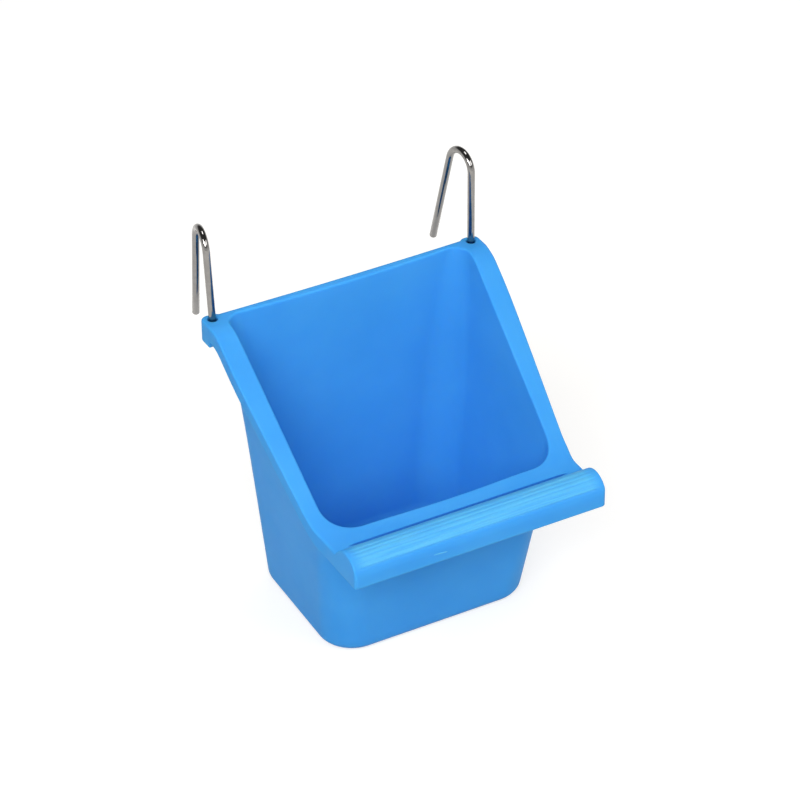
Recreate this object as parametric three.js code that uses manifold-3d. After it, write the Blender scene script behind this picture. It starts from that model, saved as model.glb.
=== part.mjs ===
// Hanging bird feeder: a moulded cup with a perch lip, and two wire hooks that swivel in its back corners.
// Millimetres, +Z up, perch towards -Y, cage side towards +Y, origin at the middle of the flat base.
import * as THREE from 'three';
import { mergeVertices } from 'three/addons/utils/BufferGeometryUtils.js';
import Module from 'manifold-3d';

const wasm = await Module();
wasm.setup();

// Moulding
const WALL = 1.25;
const FLOOR = 1.4;

// Cup body, outside: plan at the floor, and how far each wall leans out per millimetre of height
const BASE_DEPTH = 43.2;
const BASE_WIDTH_FRONT = 53.6;
const BASE_WIDTH_BACK = 51.6;
const FRONT_DRAFT = 0.169;
const SIDE_DRAFT = 0.103;
const BACK_DRAFT = 0.022;
const FRONT_CORNER = 8.7;
const BACK_CORNER = 9.8;
const BACK_CORNER_AT_RIM = 5;
const BASE_EDGE = 2.4;
const INNER_BASE_EDGE = 2;
const BACK_BOW = 0.85;

// Mouth: a level back, a slope, and a level platform behind the perch
const RIM_HEIGHT = 73.4;
const PLATFORM_HEIGHT = 41.5;
const SLOPE_START = -25.1;
const SLOPE_ANGLE = THREE.MathUtils.degToRad(37.3);
const CREST_RADIUS = 9;
const BEND_RADIUS = 16;

// Turned-down rim, in plan
const SKIRT = 4.2;
const LIP_HALF = 33;
const LIP_FRONT = -43.4;
const LIP_CORNER = 0.8;
const RIM_HALF_AT_BEND = 33.8;
const RIM_HALF_AT_BACK = 36.95;
const RIM_BACK = 24;
const RIM_BOW = 0.5;
const RIM_STRAIGHTENS = 8;
const STRAIGHTENING_RADIUS = 60;
const FLARE = 2.6;

// Perch bar, a half round with fine grip grooves
const BAR_RADIUS = 4.6;
const BAR_DROP = 1.4;
const BAR_FLANK = THREE.MathUtils.degToRad(45);
const GRIP_COUNT = 6;
const GRIP_FIRST = THREE.MathUtils.degToRad(-20);
const GRIP_PITCH = THREE.MathUtils.degToRad(16.7);
const GRIP_RADIUS = 0.4;
const GRIP_DEPTH = 0.14;
const GRIP_END = 1.3;
const SLOT_HALF = 29.4;
const SLOT_BEHIND_BAR = 0.6;
const SLOT_WIDTH = 0.7;
const SLOT_DEPTH = 0.7;
const SLOT_POINT = 2;

// Corner bosses and their stepped holes
const HOOK_FROM_SIDE = 2.45;
const HOOK_FROM_BACK = 1.6;
const BOSS_RADIUS = 2.5;
const BOSS_HEIGHT = 5.8;
const BOSS_FORWARD = 2.9;
const BOSS_BACKWARD = 2.2;
const BOSS_FRONT_CORNER = 1;
const BOSS_BACK_CORNER = 1.7;
const HOLE_RADIUS = 1.18;
const COUNTERBORE_RADIUS = 1.8;
const COUNTERBORE_DEPTH = 2.2;

// Hooks, one bent wire each, with a swelled foot that stays under the shoulder of the hole
const WIRE_RADIUS = 0.88;
const HOOK_RISE = 22.7;
const FIRST_BEND = 4;
const SECOND_BEND = 5.6;
const TURN = THREE.MathUtils.degToRad(164);
const TIP_BELOW_RIM = 7.5;
const FOOT_RADIUS = 1.35;
const FOOT_THICKNESS = 0.8;
const FOOT_UNDER_SHOULDER = 0.3;
const LEFT_SITS_LOWER = 0.9;
const RIGHT_SWIVEL = THREE.MathUtils.degToRad(93);
const LEFT_SWIVEL = THREE.MathUtils.degToRad(78.8);
const LEFT_LEAN_ALONG = THREE.MathUtils.degToRad(1.2);
const LEFT_LEAN_ACROSS = THREE.MathUtils.degToRad(2.2);

// How finely round stretches are divided
const CORNER_STEPS = 8;
const WIRE_SIDES = 14;
const WIRE_STEPS = 84;
const HOLE_SIDES = 32;

// Room beyond the part, for the solids that cut it
const CLEAR = 10;

// Worked-out values
const BASE_FRONT = -BASE_DEPTH / 2;
const BASE_BACK = BASE_DEPTH / 2;
const BAR_Y = LIP_FRONT + BAR_RADIUS;
const BAR_HEIGHT = PLATFORM_HEIGHT - BAR_DROP;
const BAR_REAR = BAR_Y + BAR_RADIUS / Math.cos(BAR_FLANK) - BAR_DROP;
const HOOK_X = RIM_HALF_AT_BACK - HOOK_FROM_SIDE;
const HOOK_Y = RIM_BACK - HOOK_FROM_BACK;
const BOSS_BOTTOM = RIM_HEIGHT - BOSS_HEIGHT;
const SHOULDER = BOSS_BOTTOM + COUNTERBORE_DEPTH;

const plastic = new THREE.MeshStandardMaterial({ color: 0x3f90e4, roughness: 0.42, metalness: 0 });
const steel = new THREE.MeshStandardMaterial({ color: 0xc9c9c6, roughness: 0.2, metalness: 1 });

// The points of a closed outline, from corners [x, y, radius], each rounded by an arc
function roundedOutline(corners) {
  return corners.flatMap(([x, y, radius = 0], index) => {
    const corner = new THREE.Vector2(x, y);
    if (radius === 0) return [corner];
    const before = new THREE.Vector2(...corners.at(index - 1)).sub(corner).normalize();
    const after = new THREE.Vector2(...corners[(index + 1) % corners.length]).sub(corner).normalize();
    const half = Math.acos(THREE.MathUtils.clamp(before.dot(after), -1, 1)) / 2;
    const start = corner.clone().addScaledVector(before, radius / Math.tan(half));
    const end = corner.clone().addScaledVector(after, radius / Math.tan(half));
    const middle = before.clone().add(after).normalize();
    const centre = corner.clone().addScaledVector(middle, radius / Math.sin(half));
    const from = Math.atan2(start.y - centre.y, start.x - centre.x);
    const to = Math.atan2(end.y - centre.y, end.x - centre.x);
    const clockwise = before.cross(after) > 0;
    return new THREE.EllipseCurve(centre.x, centre.y, radius, radius, from, to, clockwise).getPoints(CORNER_STEPS);
  });
}

// Points between two mirrored back corners, drawn in towards the middle
function bowedBack(half, back, bow) {
  const shares = [0.6, 0.2, -0.2, -0.6];
  return shares.map((share) => [share * half, back - bow * (1 - share * share)]);
}

// Solids, for joining and cutting
function solid(geometry) {
  const bare = geometry.clone();
  bare.deleteAttribute('normal');
  bare.deleteAttribute('uv');
  const merged = mergeVertices(bare, 1e-4);
  return new wasm.Manifold(new wasm.Mesh({
    numProp: 3,
    vertProperties: new Float32Array(merged.attributes.position.array),
    triVerts: new Uint32Array(merged.index.array),
  }));
}

function geometryOf(body) {
  const mesh = body.getMesh();
  const geometry = new THREE.BufferGeometry();
  geometry.setAttribute('position', new THREE.BufferAttribute(mesh.vertProperties, 3));
  geometry.setIndex(new THREE.BufferAttribute(mesh.triVerts, 1));
  geometry.computeVertexNormals();
  return geometry;
}

// A plan outline raised from one height to another
function raised(outline, bottom, top) {
  const shape = new THREE.Shape(outline);
  const geometry = new THREE.ExtrudeGeometry(shape, { depth: top - bottom, bevelEnabled: false });
  return solid(geometry.translate(0, 0, bottom));
}

// A side-view outline (y, z) carried across the part, from -half to half
function across(outline, half) {
  const shape = new THREE.Shape(outline);
  const geometry = new THREE.ExtrudeGeometry(shape, { depth: 2 * half, bevelEnabled: false });
  const turn = new THREE.Matrix4().makeBasis(
    new THREE.Vector3(0, 1, 0), new THREE.Vector3(0, 0, 1), new THREE.Vector3(1, 0, 0));
  return solid(geometry.translate(0, 0, -half).applyMatrix4(turn));
}

function upright(radius, bottom, top, x, y) {
  const geometry = new THREE.CylinderGeometry(radius, radius, top - bottom, HOLE_SIDES);
  return solid(geometry.rotateX(Math.PI / 2).translate(x, y, (top + bottom) / 2));
}

// A closed skin through rings of equal point count, stacked upwards
function loft(rings) {
  const count = rings[0].points.length;
  const positions = rings.flatMap(({ points, z }) => points.flatMap((point) => [point.x, point.y, z]));
  const index = [];
  for (let level = 0; level + 1 < rings.length; level += 1) {
    for (let i = 0; i < count; i += 1) {
      const next = (i + 1) % count;
      const [a, b] = [level * count + i, level * count + next];
      index.push(a, b, b + count, a, b + count, a + count);
    }
  }
  const last = (rings.length - 1) * count;
  for (const [a, b, c] of THREE.ShapeUtils.triangulateShape(rings[0].points, [])) index.push(c, b, a);
  for (const [a, b, c] of THREE.ShapeUtils.triangulateShape(rings.at(-1).points, [])) {
    index.push(last + a, last + b, last + c);
  }
  const geometry = new THREE.BufferGeometry();
  geometry.setAttribute('position', new THREE.BufferAttribute(new Float32Array(positions), 3));
  geometry.setIndex(index);
  return solid(geometry);
}

// Cup body in plan at one height: four walls that lean out, the back one drawn in a little at mid span
function bodyPlan(z, inset) {
  const halfFront = BASE_WIDTH_FRONT / 2 + SIDE_DRAFT * z - inset;
  const halfBack = BASE_WIDTH_BACK / 2 + SIDE_DRAFT * z - inset;
  const front = BASE_FRONT - FRONT_DRAFT * z + inset;
  const back = BASE_BACK + BACK_DRAFT * z - inset;
  const bow = BACK_BOW * (z / RIM_HEIGHT);
  const tightening = (BACK_CORNER - BACK_CORNER_AT_RIM) * (z / RIM_HEIGHT) ** 5;
  const backCorner = BACK_CORNER - tightening - inset;
  return roundedOutline([
    [-halfFront, front, FRONT_CORNER - inset],
    [halfFront, front, FRONT_CORNER - inset],
    [halfBack, back, backCorner],
    ...bowedBack(halfBack, back, bow),
    [-halfBack, back, backCorner],
  ]);
}

function bodySkin(inset, bottom, edge) {
  const top = RIM_HEIGHT + 1;
  const rings = [];
  for (let step = 0; step <= CORNER_STEPS / 2; step += 1) {
    const angle = (Math.PI / 2) * (step / (CORNER_STEPS / 2));
    const z = bottom + edge * (1 - Math.cos(angle));
    rings.push({ z, points: bodyPlan(z, inset + edge * (1 - Math.sin(angle))) });
  }
  const levels = 9;
  for (let level = 1; level <= levels; level += 1) {
    const z = THREE.MathUtils.lerp(bottom + edge, top, Math.sqrt(level / levels));
    rings.push({ z, points: bodyPlan(z, inset) });
  }
  return loft(rings);
}

// Everything below the mouth's surface, or below a skin some thickness or drop under it
function belowMouth(thickness, drop) {
  const lift = thickness * (1 / Math.cos(SLOPE_ANGLE) - 1);
  const slopeAt = (height) => SLOPE_START + (height - PLATFORM_HEIGHT + lift) / Math.tan(SLOPE_ANGLE);
  const under = thickness + drop;
  const back = RIM_BACK + CLEAR;
  return across(roundedOutline([
    [LIP_FRONT - CLEAR, -CLEAR],
    [back, -CLEAR],
    [back, RIM_HEIGHT - under],
    [slopeAt(RIM_HEIGHT), RIM_HEIGHT - under, CREST_RADIUS - thickness],
    [slopeAt(PLATFORM_HEIGHT), PLATFORM_HEIGHT - under, BEND_RADIUS + thickness],
    [LIP_FRONT - CLEAR, PLATFORM_HEIGHT - under],
  ]), RIM_HALF_AT_BACK + CLEAR);
}

// Everything below the half-round bar, whose rear flank slopes down to the platform
function belowBar(radius) {
  const rear = BAR_Y + radius / Math.cos(BAR_FLANK);
  const round = new THREE.EllipseCurve(BAR_Y, BAR_HEIGHT, radius, radius, BAR_FLANK, Math.PI);
  return across([
    new THREE.Vector2(BAR_Y - radius, 0),
    new THREE.Vector2(rear, 0),
    new THREE.Vector2(rear, BAR_HEIGHT),
    ...round.getPoints(2 * CORNER_STEPS),
  ], RIM_HALF_AT_BACK + CLEAR);
}

// Rim and lip in plan
function rimPlan(inset) {
  const half = LIP_HALF - inset;
  const front = LIP_FRONT + inset;
  const back = RIM_BACK - inset;
  const backHalf = RIM_HALF_AT_BACK - inset;
  const backCorner = BOSS_BACK_CORNER - inset;
  const flareEnd = [RIM_HALF_AT_BEND - inset, SLOPE_START, FLARE];
  const flareStart = [half, SLOPE_START - FLARE, FLARE];
  const straight = [backHalf, RIM_STRAIGHTENS, STRAIGHTENING_RADIUS];
  const mirrored = ([x, y, radius]) => [-x, y, radius];
  const lipCorner = [half, front, LIP_CORNER - inset / 2];
  const right = [lipCorner, flareStart, flareEnd, straight, [backHalf, back, backCorner]];
  const left = right.map(mirrored).reverse();
  return roundedOutline([...right, ...bowedBack(backHalf, back, RIM_BOW), ...left]);
}

function bossPlan(side) {
  const inner = HOOK_X - BOSS_RADIUS;
  const outer = HOOK_X + BOSS_RADIUS;
  const back = HOOK_Y + BOSS_BACKWARD;
  const front = HOOK_Y - BOSS_FORWARD;
  const corners = [
    [inner, front, BOSS_FRONT_CORNER],
    [outer, front, BOSS_FRONT_CORNER],
    [outer, back, BOSS_BACK_CORNER],
    [inner, back, BOSS_BACK_CORNER],
  ];
  const placed = corners.map(([x, y, radius]) => [side * x, y, radius]);
  return roundedOutline(side > 0 ? placed : placed.reverse());
}

// Slot behind the bar, pointed at both ends
function slot() {
  const y = BAR_REAR + SLOT_BEHIND_BAR;
  const [near, far] = [y - SLOT_WIDTH / 2, y + SLOT_WIDTH / 2];
  const plan = roundedOutline([
    [-SLOT_HALF, y],
    [-SLOT_HALF + SLOT_POINT, near],
    [SLOT_HALF - SLOT_POINT, near],
    [SLOT_HALF, y],
    [SLOT_HALF - SLOT_POINT, far],
    [-SLOT_HALF + SLOT_POINT, far],
  ]);
  return raised(plan, PLATFORM_HEIGHT - SLOT_DEPTH, PLATFORM_HEIGHT + CLEAR);
}

// Fine grip grooves along the bar's top
function gripGrooves() {
  const grooves = [];
  for (let n = 0; n < GRIP_COUNT; n += 1) {
    const angle = GRIP_FIRST + n * GRIP_PITCH;
    const reach = BAR_RADIUS + GRIP_RADIUS - GRIP_DEPTH;
    const length = 2 * (LIP_HALF - GRIP_END);
    const groove = new THREE.CylinderGeometry(GRIP_RADIUS, GRIP_RADIUS, length, 12);
    groove.rotateZ(Math.PI / 2);
    groove.translate(0, BAR_Y - reach * Math.sin(angle), BAR_HEIGHT + reach * Math.cos(angle));
    grooves.push(solid(groove));
  }
  return grooves;
}

function cup() {
  const skin = belowMouth(0, 0).add(belowBar(BAR_RADIUS));
  const underside = belowMouth(WALL, 0).add(belowBar(BAR_RADIUS - WALL));
  const hollow = raised(rimPlan(WALL), 0, RIM_HEIGHT + CLEAR).intersect(underside);
  const rim = raised(rimPlan(0), 0, RIM_HEIGHT + CLEAR).intersect(skin)
    .subtract(hollow)
    .subtract(belowMouth(0, SKIRT));
  let body = bodySkin(0, 0, BASE_EDGE).intersect(skin).add(rim);
  for (const side of [-1, 1]) {
    body = body.add(raised(bossPlan(side), BOSS_BOTTOM, RIM_HEIGHT));
  }
  body = body.subtract(bodySkin(WALL, FLOOR, INNER_BASE_EDGE));
  for (const side of [-1, 1]) {
    const x = side * HOOK_X;
    body = body.subtract(upright(HOLE_RADIUS, BOSS_BOTTOM - CLEAR, RIM_HEIGHT + CLEAR, x, HOOK_Y));
    body = body.subtract(upright(COUNTERBORE_RADIUS, BOSS_BOTTOM - CLEAR, SHOULDER, x, HOOK_Y));
  }
  for (const cut of [slot(), ...gripGrooves()]) body = body.subtract(cut);
  return geometryOf(body);
}

// Hook centre line in its own plane, from the foot up the leg, over the bend and down the free leg.
// Its z = 0 is the height of the rim, and x runs from the standing leg towards the free leg.
function hookLine(footHeight) {
  const path = new THREE.CurvePath();
  const legTop = HOOK_RISE - FIRST_BEND;
  const rest = TURN - Math.PI / 2;
  const point = (x, z) => new THREE.Vector3(x, 0, z);
  const bend = (radius, x, z, from, to) => {
    const flat = new THREE.EllipseCurve(x, z, radius, radius, from, to, true);
    const arc = new THREE.Curve();
    arc.getPoint = (t) => {
      const place = flat.getPoint(t);
      return point(place.x, place.y);
    };
    return arc;
  };
  const bendEnd = point(FIRST_BEND + SECOND_BEND * Math.sin(rest), HOOK_RISE - SECOND_BEND * (1 - Math.cos(rest)));
  const fall = bendEnd.z + TIP_BELOW_RIM;
  const tip = point(bendEnd.x + fall / Math.tan(rest), -TIP_BELOW_RIM);
  path.add(new THREE.LineCurve3(point(0, footHeight), point(0, legTop)));
  path.add(bend(FIRST_BEND, FIRST_BEND, legTop, Math.PI, Math.PI / 2));
  path.add(bend(SECOND_BEND, FIRST_BEND, HOOK_RISE - SECOND_BEND, Math.PI / 2, Math.PI / 2 - rest));
  path.add(new THREE.LineCurve3(bendEnd, tip));
  return path;
}

function hook() {
  const footTop = SHOULDER - RIM_HEIGHT - FOOT_UNDER_SHOULDER;
  const footBottom = footTop - FOOT_THICKNESS;
  const section = new THREE.EllipseCurve(0, 0, WIRE_RADIUS, WIRE_RADIUS).getPoints(WIRE_SIDES).slice(0, -1);
  const wire = solid(new THREE.ExtrudeGeometry(new THREE.Shape(section), {
    extrudePath: hookLine(footTop - FOOT_THICKNESS / 2),
    steps: WIRE_STEPS,
  }));
  return geometryOf(wire.add(upright(FOOT_RADIUS, footBottom, footTop, 0, 0)));
}

// A hook stands in its hole, turned about its leg; slack in the hole lets it lean about the hole's middle
function standingHook(name, side, swivel, lower, leanAlong, leanAcross) {
  const holeMiddle = (SHOULDER + RIM_HEIGHT) / 2;
  const geometry = hook();
  geometry.translate(0, 0, RIM_HEIGHT - holeMiddle - lower);
  geometry.rotateX(-leanAcross);
  geometry.rotateY(leanAlong);
  geometry.rotateZ(swivel);
  geometry.translate(side * HOOK_X, HOOK_Y, holeMiddle);
  const mesh = new THREE.Mesh(geometry, steel);
  mesh.name = name;
  return mesh;
}

const feeder = new THREE.Group();
const cupMesh = new THREE.Mesh(cup(), plastic);
cupMesh.name = 'cup';
feeder.add(cupMesh);
feeder.add(standingHook('left_hook', -1, LEFT_SWIVEL, LEFT_SITS_LOWER, LEFT_LEAN_ALONG, LEFT_LEAN_ACROSS));
feeder.add(standingHook('right_hook', 1, RIGHT_SWIVEL, 0, 0, 0));

export default feeder;
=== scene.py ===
"""A hanging bird feeder: a moulded polypropylene cup with a perch lip, and two plated wire hooks that swivel
in its back corners. Sizes below are in millimetres, and the finished meshes are in metres."""

import math
from types import SimpleNamespace

import bmesh
import bpy
from mathutils import Matrix, Vector


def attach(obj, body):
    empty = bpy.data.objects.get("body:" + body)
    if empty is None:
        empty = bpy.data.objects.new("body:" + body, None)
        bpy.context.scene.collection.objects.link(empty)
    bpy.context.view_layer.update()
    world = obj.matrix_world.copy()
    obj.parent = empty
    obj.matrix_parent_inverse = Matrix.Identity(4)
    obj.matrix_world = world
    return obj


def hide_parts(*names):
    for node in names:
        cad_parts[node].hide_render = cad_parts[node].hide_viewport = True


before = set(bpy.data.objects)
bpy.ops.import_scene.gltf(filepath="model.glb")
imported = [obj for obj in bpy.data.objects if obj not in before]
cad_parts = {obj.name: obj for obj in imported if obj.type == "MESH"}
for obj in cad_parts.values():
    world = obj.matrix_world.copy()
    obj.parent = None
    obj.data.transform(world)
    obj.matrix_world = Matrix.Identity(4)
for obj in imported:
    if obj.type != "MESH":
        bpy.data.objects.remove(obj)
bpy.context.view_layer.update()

MM = 0.001

# Cup body: plan at the base, and the lean of each wall per millimetre of height
BASE_FRONT = -21.6
BASE_BACK = 21.6
BASE_HALF = 26.3
BASE_TAPER = -0.0231
FRONT_DRAFT = 0.169
SIDE_DRAFT = 0.103
BACK_DRAFT = 0.022
FRONT_BOW = 0.5
BACK_BOW = 0.85
FRONT_CORNER = 8.7
BACK_CORNER = 9.8
BACK_CORNER_LOSS = 4.8
BACK_CORNER_POWER = 5
BASE_EDGE = 2.4

# Walls and floor. The side walls grow thicker inside, from the platform's height up
WALL = 1.25
SIDE_WALL = 1.2
SIDE_WALL_AT_RIM = 1.65
SIDE_WALL_RUN = 32
FLOOR = 1.4
INNER_BASE_EDGE = 2.0
BASE_MIDDLE_INSET = 0.3

# Mouth: platform, slope and level back
RIM_HEIGHT = 73.4
PLATFORM_HEIGHT = 41.5
SLOPE_START = -25.1
SLOPE = math.tan(math.radians(37.3))
BEND_RADIUS = 16.0
CREST_RADIUS = 9.0
MOUTH_EDGE = 0.5

# Rim: its plate, the skirt turned down from it, and its half width from the lip to the bosses
PLATE = 1.3
SKIRT = 4.2
SKIRT_WALL = 1.25
SKIRT_FOOT_ROUND = 0.35
RIM_EDGE = 0.55
RIM_BACK = 24.0
RIM_BOW = 0.5
RIM_HALF = 36.95
RIM_HALF_BLEND = 0.5
SLOPE_HALF = 33.8
SLOPE_HALF_AT = -24.7
SLOPE_SPREAD = 0.093
FLARE_START = -30.4
FLARE_RUN = 6.4
BOSS_FLARE_START = 17.5
BOSS_FLARE_RUN = 2
STRAIGHT_SIDE_START = 16
BEAD_BOTTOM = RIM_HEIGHT - SKIRT
BEAD_WALL_SHARE = 0.6

# Perch lip and its bar
LIP_HALF = 33.0
LIP_FRONT = -43.28
LIP_CORNER = 0.8
LIP_CORNER_DROP = 0.76
LIP_CORNER_EDGE = 0.81
LIP_EDGE = 0.5
LIP_REAR = -31.7
FIRST_LIP_ROW = -31.95
INNER_CORNER = 0.1
BAR_RADIUS = 4.6
BAR_Y = LIP_FRONT + BAR_RADIUS
BAR_Z = 40.1
BAR_LAST = math.radians(70)
BAR_FLANK = math.radians(45)
BAR_WALL = 1.25
BAR_END_PULL = 0.5
EDGE_GROWTH_START = -31
EDGE_GROWTH_RUN = 3

# Round at the foot of the bar's back flank: how far behind the foot, and how far above the platform
BAR_FOOT_ROUND = ((0.16, 0), (0.04, 0.012), (-0.1, 0.08), (-0.26, 0.22))

# Grip grooves along the bar: their angles about its axis, and their section in shares of half width and depth
GRIP_ANGLES = [math.radians(-4 + 16 * n) for n in range(5)]
GRIP_HALF = math.radians(3.2)
GRIP_DEPTH = 0.17
GRIP_SHALLOW_SHARE = 0.7
GRIP_END = LIP_HALF - 1.3
GRIP_RUN_OUT = 0.5
GRIP_BESIDE = 1.6
GRIP_SECTION = ((-GRIP_BESIDE, 0), (-1, 0.1), (-0.45, 0.8), (0, 1), (0.45, 0.8), (1, 0.1))

# Slot behind the bar. Its section gives each row's place, how far the slot moves it back, and how far down
SLOT_Y = -32.65
SLOT_END = 29.4
SLOT_RUN_OUT = 2.2
SLOT_SECTION = ((0.02, 0.4, 0), (0.01, 0.34, 0.9), (-0.01, -0.34, 0.9), (-0.02, -0.4, 0))

# Raised tick on the front of the lip: x and z of its ends
TICK_START = (-12.8, 39.95)
TICK_END = (-9.2, 39.7)
TICK_RISE = 0.115
TICK_HALF = 0.17

# Hook bosses
HOOK_X = 34.5
HOOK_Y = 22.4
BOSS_RADIUS = 2.5
BOSS_FRONT = 19.5
BOSS_BACK = 24.6
BOSS_CORNER = 1.7
BOSS_BOTTOM = 67.6
BOSS_FOOT = 0.4
CREASE_RADIUS = 0.6
CREASE_AT = 32
HOLE_RADIUS = 1.18
HOLE_EDGE = 0.2
COUNTERBORE_RADIUS = 1.8
SHOULDER = 69.8
DRILL_BEYOND = 3

# Hooks
WIRE_RADIUS = 0.88
HOOK_RISE = 22.66
FIRST_BEND = 4.0
SECOND_BEND = 5.6
HOOK_TURN = math.radians(164)
TIP_BELOW_RIM = 7.5
TIP_SCALE = 0.78
FOOT_RADIUS = 1.35
FOOT_THICKNESS = 0.8
FOOT_UNDER_SHOULDER = 0.3
FOOT_LOWER_EDGE = 0.2
FOOT_UPPER_EDGE = 0.15
LEFT_SWIVEL = 78.8
RIGHT_SWIVEL = 93.0
LEFT_SITS_LOWER = 0.9
LEFT_LEAN_ALONG = 1.2
LEFT_LEAN_ACROSS = 2.2

# The pieces of the body's wall, from the middle of the front to the middle of the back
FRONT, FRONT_BEND, SIDE, BACK_BEND, BACK = range(5)

# How finely the skin is divided, where the rim's stretches end, and which share of a wall's bend they take
FRONT_STEPS = 22
FLARE_STEPS = 19
SIDE_STEPS = 40
BOSS_SIDE_STEPS = 6
BEAD_BEND_STEPS = 18
BEAD_STEPS = 24
EDGE_STEPS = 5
FRONT_STRAIGHT = 22.4
BEAD_STRAIGHT = 27.5
FLARE_END = -20.4
LIP_BEND_SHARE = 0.42
BOSS_SHARE = 0.38
LIP_BEND_COLUMNS = (24.0, 25.4, 26.6, 27.4, 28.0, 28.6, 29.0, 29.4,
                    29.8, 30.2, 30.6, 31.0, 31.4, 31.8, 32.2, LIP_HALF - LIP_EDGE)

# The floor lies just under the cup, so that the two don't share one plane
FLOOR_GAP = 0.05

# Sockets of a Mix node by number, because its colour and plain inputs share their names
COLOUR_A, COLOUR_B, COLOUR_RESULT = 6, 7, 2
PLAIN_A, PLAIN_B = 2, 3


def mix(a, b, share):
    return a + (b - a) * share


def ease(share):
    share = min(max(share, 0.0), 1.0)
    return share * share * (3 - 2 * share)


def soft_min(a, b, blend):
    return (a + b - math.hypot(a - b, blend)) / 2


# The shape of the cup, as plain formulas on its right half

def mouth_height(y):
    """Height of the cup's top surface, without the perch bar"""
    turn = math.atan(SLOPE)
    crest = SLOPE_START + (RIM_HEIGHT - PLATFORM_HEIGHT) / SLOPE
    bend_run = BEND_RADIUS * math.tan(turn / 2)
    crest_run = CREST_RADIUS * math.tan(turn / 2)
    if y <= SLOPE_START - bend_run:
        return PLATFORM_HEIGHT
    if y < SLOPE_START + bend_run * math.cos(turn):
        step = y - (SLOPE_START - bend_run)
        return PLATFORM_HEIGHT + BEND_RADIUS - math.sqrt(BEND_RADIUS**2 - step**2)
    if y <= crest - crest_run * math.cos(turn):
        return PLATFORM_HEIGHT + SLOPE * (y - SLOPE_START)
    if y < crest + crest_run:
        step = crest + crest_run - y
        return RIM_HEIGHT - CREST_RADIUS + math.sqrt(CREST_RADIUS**2 - step**2)
    return RIM_HEIGHT


def body_plan(piece, share, z, inner=False):
    """A point in plan of the body's wall at height z, from the wall's piece and the share along that piece"""
    inset = WALL if inner else 0.0
    side_growth = ease((z - PLATFORM_HEIGHT) / SIDE_WALL_RUN)
    side_inset = mix(SIDE_WALL, SIDE_WALL_AT_RIM, side_growth) if inner else 0.0
    front = BASE_FRONT - FRONT_DRAFT * z + inset
    back = BASE_BACK + BACK_DRAFT * z - inset
    half = BASE_HALF + SIDE_DRAFT * z - side_inset
    front_corner = FRONT_CORNER - inset
    back_corner = BACK_CORNER - BACK_CORNER_LOSS * (z / RIM_HEIGHT) ** BACK_CORNER_POWER - inset
    tilt = math.atan(BASE_TAPER)
    stretch = math.hypot(1, BASE_TAPER)
    front_y = front + front_corner
    back_y = back - back_corner
    front_x = half + BASE_TAPER * front_y - front_corner * stretch
    back_x = half + BASE_TAPER * back_y - back_corner * stretch
    bow = FRONT_BOW * min(z / PLATFORM_HEIGHT, 1)
    if piece == FRONT:
        return front_x * share, front - bow * (1 - share**2) ** 2
    if piece == FRONT_BEND:
        angle = mix(-math.pi / 2, -tilt, share)
        return front_x + front_corner * math.cos(angle), front_y + front_corner * math.sin(angle)
    if piece == SIDE:
        x = mix(front_x + front_corner * math.cos(tilt), back_x + back_corner * math.cos(tilt), share)
        y = mix(front_y - front_corner * math.sin(tilt), back_y - back_corner * math.sin(tilt), share)
        return x, y
    if piece == BACK_BEND:
        angle = mix(-tilt, math.pi / 2, share)
        return back_x + back_corner * math.cos(angle), back_y + back_corner * math.sin(angle)
    across = 1 - share
    return back_x * across, back - BACK_BOW * (z / RIM_HEIGHT) * (1 - across**2)


def wall_edge(piece, share, height, inner):
    """Where a line down the wall meets a surface whose height depends on y, found by closing in on it"""
    z = PLATFORM_HEIGHT
    for _ in range(30):
        x, y = body_plan(piece, share, z, inner)
        z = height(y)
    x, y = body_plan(piece, share, z, inner)
    return x, y, z


def rim_half(y):
    """Half the width of the rim, which flares from the lip and widens up the slope"""
    slope_line = SLOPE_HALF + SLOPE_SPREAD * (y - SLOPE_HALF_AT)
    side = soft_min(slope_line, RIM_HALF, RIM_HALF_BLEND)
    side = mix(LIP_HALF, side, ease((y - FLARE_START) / FLARE_RUN))
    return mix(side, HOOK_X + BOSS_RADIUS, ease((y - BOSS_FLARE_START) / BOSS_FLARE_RUN))


def rim_back(x):
    """Place of the rim's back edge, drawn in a little at mid span"""
    return RIM_BACK - RIM_BOW * (1 - (x / RIM_HALF) ** 2)


def rim_edge_radius(y):
    """Radius of the outer edge, which grows a little from the lip to the rim"""
    return mix(LIP_EDGE, RIM_EDGE, ease((y - EDGE_GROWTH_START) / EDGE_GROWTH_RUN))


def boss_outline():
    """The round corners of the right boss in plan, and the crease where it meets the bead along the back.
    Returns its points and the x where the crease begins to turn"""
    corner_y = BOSS_BACK - BOSS_CORNER
    outer_x = HOOK_X + BOSS_RADIUS - BOSS_CORNER
    inner_x = HOOK_X - BOSS_RADIUS + BOSS_CORNER
    reach = BOSS_CORNER + CREASE_RADIUS
    crease_rise = rim_back(CREASE_AT) + CREASE_RADIUS - corner_y
    crease_angle = math.asin(crease_rise / reach)
    crease_x = inner_x - reach * math.cos(crease_angle)
    quarter = math.pi / 2
    outer_steps, inner_steps, crease_steps = 7, 6, 4
    turns = [(outer_x, quarter * n / outer_steps) for n in range(1, outer_steps + 1)]
    last_turn = math.pi - crease_angle
    turns += [(inner_x, mix(quarter, last_turn, n / inner_steps)) for n in range(inner_steps + 1)]
    points = [(x + BOSS_CORNER * math.cos(a), corner_y + BOSS_CORNER * math.sin(a)) for x, a in turns]
    for n in range(1, crease_steps):
        angle = mix(-crease_angle, -quarter, n / crease_steps)
        x = crease_x + CREASE_RADIUS * math.cos(angle)
        points.append((x, corner_y + crease_rise + CREASE_RADIUS * math.sin(angle)))
    return points, crease_x


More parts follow.
